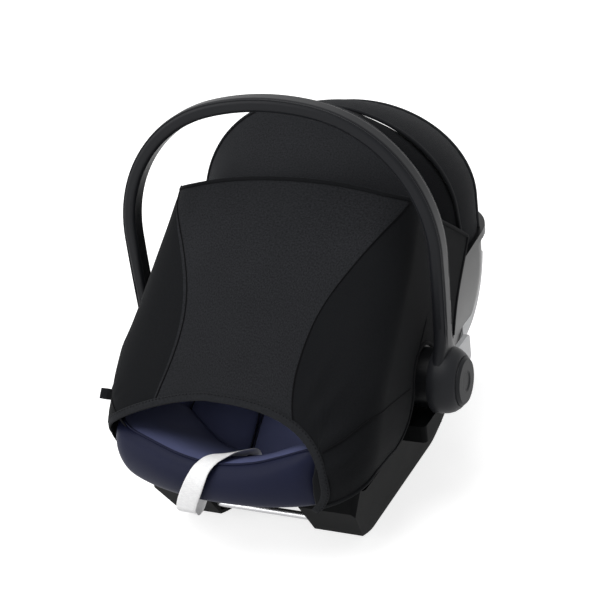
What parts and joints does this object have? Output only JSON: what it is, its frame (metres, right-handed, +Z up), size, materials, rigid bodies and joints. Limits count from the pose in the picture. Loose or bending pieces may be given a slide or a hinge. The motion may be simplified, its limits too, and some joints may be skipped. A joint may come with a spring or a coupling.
{
  "type": "infant car seat",
  "caption": "Rocking infant car seat with an upright carry handle, open canopy and a stretch sun cover with a foot opening; navy padding and a white adjuster strap.",
  "frame": {"origin": "on the floor under the middle of the whole seat", "axes": "+Z up, -Y to the foot end, +Y to the head end, X across; symmetric about x = 0 but for the pull strap and the hem, which is pulled a little to -X"},
  "size_m": [0.446, 0.5774, 0.5095],
  "materials": {
    "black_web": "flat webbing",
    "canopy_cloth": "fine woven",
    "canopy_dark_cloth": "fine woven",
    "cover_cloth": "stretch mesh",
    "foam": "bead foam",
    "handle_plastic": "satin moulded",
    "hem_cloth": "bound edge",
    "hub_plastic": "satin moulded",
    "light_plastic": "smooth moulded",
    "navy_leather": "soft grain",
    "red_plastic": "gloss moulded",
    "shell_plastic": "fine moulded texture",
    "steel": "satin",
    "white_web": "flat webbing"
  },
  "bodies": {
    "seat": {"adapter_bracket_left": "shell_plastic", "adapter_bracket_right": "shell_plastic", "adjuster_housing": "shell_plastic", "back_belt_guide": "light_plastic", "back_pad": "navy_leather", "belt_hook_left": "light_plastic", "belt_hook_right": "light_plastic", "buckle_body": "shell_plastic", "buckle_tongue_left": "steel", "buckle_tongue_right": "steel", "canopy_band": "canopy_cloth", "canopy_clips_left": "shell_plastic", "canopy_clips_right": "shell_plastic", "canopy_front_bow": "shell_plastic", "canopy_main": "canopy_dark_cloth", "canopy_rear_bow": "shell_plastic", "canopy_visor": "canopy_cloth", "crotch_anchor": "steel", "crotch_strap": "black_web", "foam_liner": "foam", "front_bolster": "navy_leather", "front_latch_bar": "steel", "headrest_guide": "shell_plastic", "hem_binding": "hem_cloth", "hub_base_left": "hub_plastic", "hub_base_right": "hub_plastic", "lock_gear_left": "shell_plastic", "lock_gear_right": "shell_plastic", "lock_spring_left": "steel", "lock_spring_right": "steel", "pivot_pin_left": "steel", "pivot_pin_right": "steel", "pull_strap": "white_web", "rear_latch_bar": "steel", "rocker_left": "shell_plastic", "rocker_right": "shell_plastic", "seat_pad": "navy_leather", "seat_shell": "shell_plastic", "shoulder_pad_left": "navy_leather", "shoulder_pad_right": "navy_leather", "shoulder_strap_left": "black_web", "shoulder_strap_right": "black_web", "sun_cover": "cover_cloth"},
    "handle": {"handle_arch": "handle_plastic", "handle_liner": "handle_plastic", "hub_housing_left": "hub_plastic", "hub_housing_right": "hub_plastic", "hub_cap_left": "hub_plastic", "hub_cap_right": "hub_plastic"},
    "button_left": {"release_button_left": "hub_plastic"},
    "button_right": {"release_button_right": "hub_plastic"},
    "headrest": {"headrest": "navy_leather"},
    "buckle_press": {"buckle_button": "red_plastic"},
    "adjuster_press": {"adjuster_button": "shell_plastic"}
  },
  "joints": [
    {"name": "handle_swing", "type": "hinge", "parent": "seat", "child": "handle", "pos_m": [0, -0.05603, 0.17], "axis": [1, 0, 0], "range_deg": [0, 95]},
    {"name": "release_left", "type": "slide", "parent": "handle", "child": "button_left", "axis": [1, 0, 0], "range_m": [0, 0.004], "stiffness_N_per_m": 600},
    {"name": "release_right", "type": "slide", "parent": "handle", "child": "button_right", "axis": [-1, 0, 0], "range_m": [0, 0.004], "stiffness_N_per_m": 600},
    {"name": "headrest_slide", "type": "slide", "parent": "seat", "child": "headrest", "axis": [0, 0.848, 0.5299], "range_m": [0, 0.03]},
    {"name": "buckle_press", "type": "slide", "parent": "seat", "child": "buckle_press", "axis": [0, 1, 0], "range_m": [0, 0.003], "stiffness_N_per_m": 800},
    {"name": "adjuster_press", "type": "slide", "parent": "seat", "child": "adjuster_press", "axis": [0, -1, 0], "range_m": [0, 0.004], "stiffness_N_per_m": 600}
  ]
}
